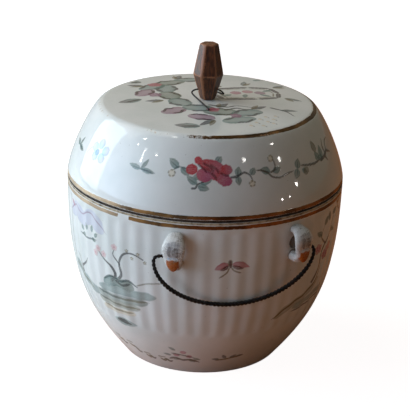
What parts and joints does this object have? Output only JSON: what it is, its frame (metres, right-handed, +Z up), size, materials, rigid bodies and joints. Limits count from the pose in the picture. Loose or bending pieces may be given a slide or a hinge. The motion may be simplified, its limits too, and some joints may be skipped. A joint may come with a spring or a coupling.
{
  "type": "covered pot",
  "caption": "Fluted porcelain pot with a domed lid, a tied wooden knob and wire bails that swing in duck-head lugs on its front and back.",
  "frame": {"origin": "middle of the foot, on the pot's axis, where it stands", "axes": "+Z up along the pot's axis, -Y towards the front with one pair of lugs, +X to the viewer's right"},
  "size_m": [0.19, 0.195, 0.2184],
  "materials": {
    "porcelain": "white glaze with overglaze enamels and gilding",
    "slip": "enamelled moulded porcelain",
    "walnut": "dark, worn at the edges",
    "iron": "blackened wire"
  },
  "bodies": {
    "pot": {"pot_body": "porcelain", "front_left_lug": "slip", "front_right_lug": "slip", "back_left_lug": "slip", "back_right_lug": "slip"},
    "lid": {"lid": "porcelain", "knob": "walnut", "knob_tie_wire": "iron"},
    "front_bail": {"front_bail": "iron"},
    "back_bail": {"back_bail": "iron"}
  },
  "joints": [
    {"name": "lid_lift", "type": "slide", "parent": "pot", "child": "lid", "axis": [0, 0, 1], "range_m": [0, 0.1]},
    {"name": "front_bail_swing", "type": "hinge", "parent": "pot", "child": "front_bail", "pos_m": [0, -0.08626, 0.1036], "axis": [-1, 0, 0], "range_deg": [0, 120]},
    {"name": "back_bail_swing", "type": "hinge", "parent": "pot", "child": "back_bail", "pos_m": [0, 0.08626, 0.1036], "axis": [1, 0, 0], "range_deg": [0, 120]}
  ]
}
